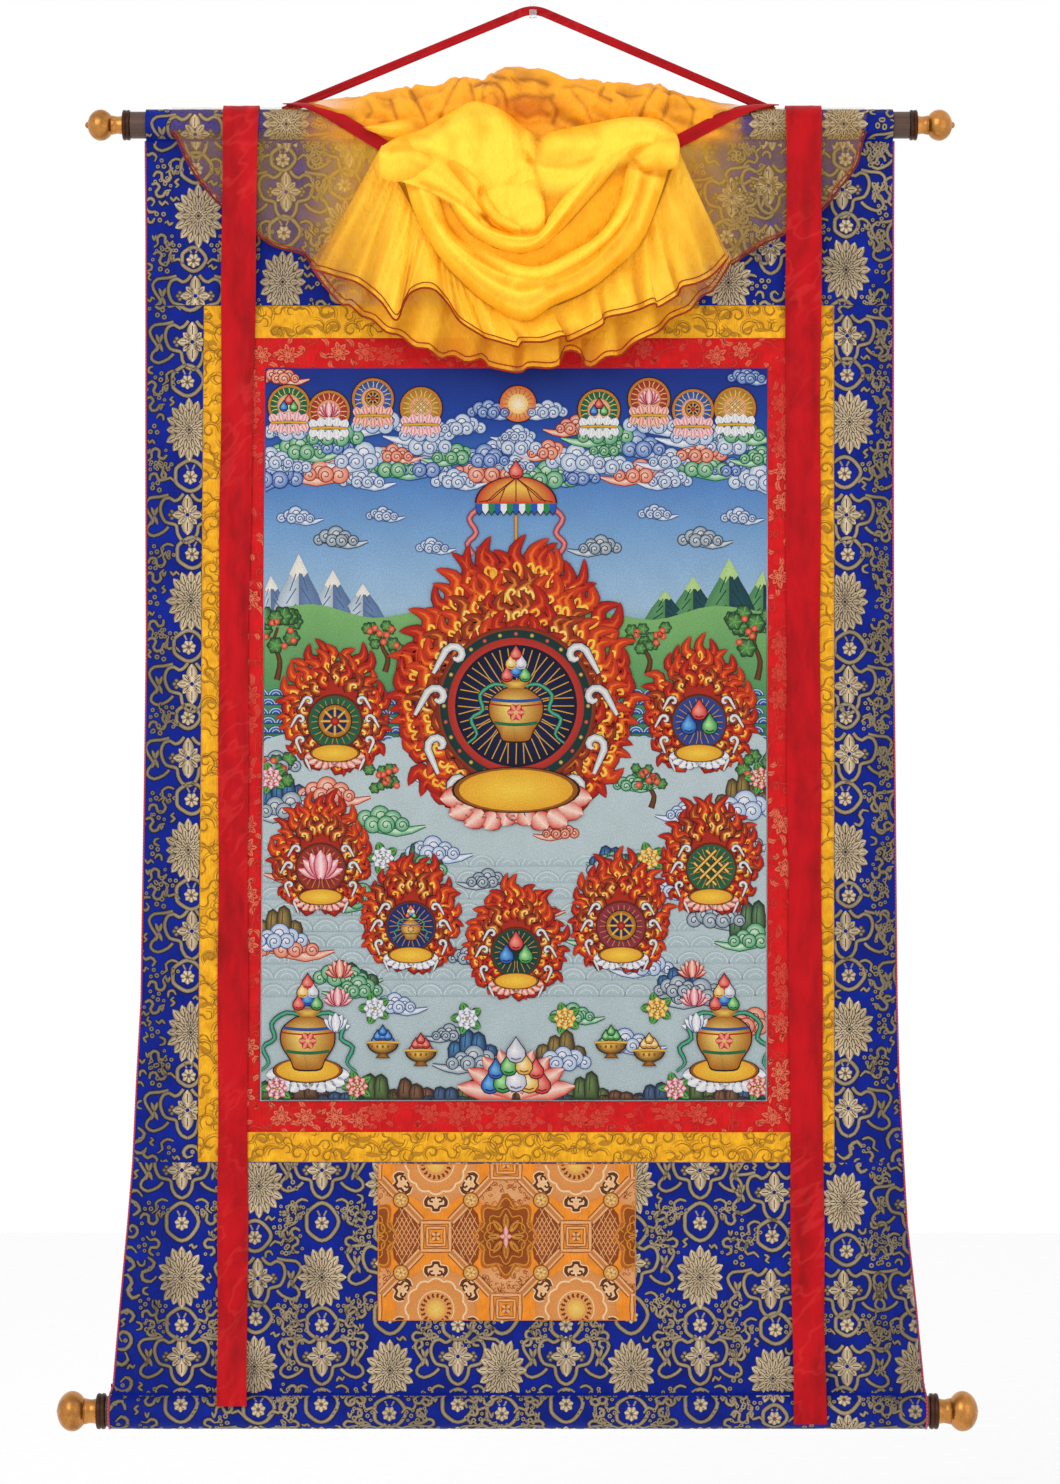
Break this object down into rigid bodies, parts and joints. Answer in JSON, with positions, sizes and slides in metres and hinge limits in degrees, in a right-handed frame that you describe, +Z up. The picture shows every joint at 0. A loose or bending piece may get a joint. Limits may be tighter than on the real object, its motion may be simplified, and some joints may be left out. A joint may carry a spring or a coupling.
{
  "type": "thangka scroll painting on rods with wall hook",
  "caption": "Painted canvas in a brocade mount between two rods with brass finials, under a tucked-up yellow silk veil, hung by a red ribbon on a clear wall hook.",
  "frame": {"origin": "on the back face of the wall hook, straight behind the top of the hanging ribbon", "axes": "+Z up along the hanging scroll, +Y into the wall; the picture faces -Y, and the wall is the plane Y = 0"},
  "size_m": [0.9204, 0.084, 1.4529],
  "materials": {
    "blue_brocade": "blue and beige silk brocade",
    "gold_damask": "gold damask with scrolling clouds",
    "red_brocade": "red silk brocade with salmon flowers",
    "orange_brocade": "orange lattice brocade",
    "painted_canvas": "matt paint on primed cotton",
    "red_piping": "red cloth piping",
    "red_satin": "satin",
    "red_ribbon": "woven ribbon",
    "yellow_silk": "sheer silk",
    "dark_wood": "stained",
    "dark_bronze": "darkened metal",
    "brass": "polished, a little worn",
    "clear_plastic": "clear"
  },
  "bodies": {
    "root": {"wall_hook": "clear_plastic", "hanger_ribbon": "red_ribbon", "tie_left": "red_ribbon", "tie_right": "red_ribbon", "top_rod": "dark_wood", "bottom_rod": "dark_wood", "panel_top": "blue_brocade", "panel_left": "blue_brocade", "panel_right": "blue_brocade", "panel_bottom": "blue_brocade", "gold_top": "gold_damask", "gold_left": "gold_damask", "gold_right": "gold_damask", "gold_bottom": "gold_damask", "red_top": "red_brocade", "red_left": "red_brocade", "red_right": "red_brocade", "red_bottom": "red_brocade", "painting": "painted_canvas", "door_patch": "orange_brocade", "edge_binding_left": "red_piping", "edge_binding_right": "red_piping", "strap_left": "red_satin", "strap_right": "red_satin", "veil": "yellow_silk", "top_collar_left": "dark_bronze", "top_finial_left": "brass", "top_collar_right": "dark_bronze", "top_finial_right": "brass", "bottom_collar_left": "dark_bronze", "bottom_finial_left": "brass", "bottom_collar_right": "dark_bronze", "bottom_finial_right": "brass"}
  },
  "joints": []
}
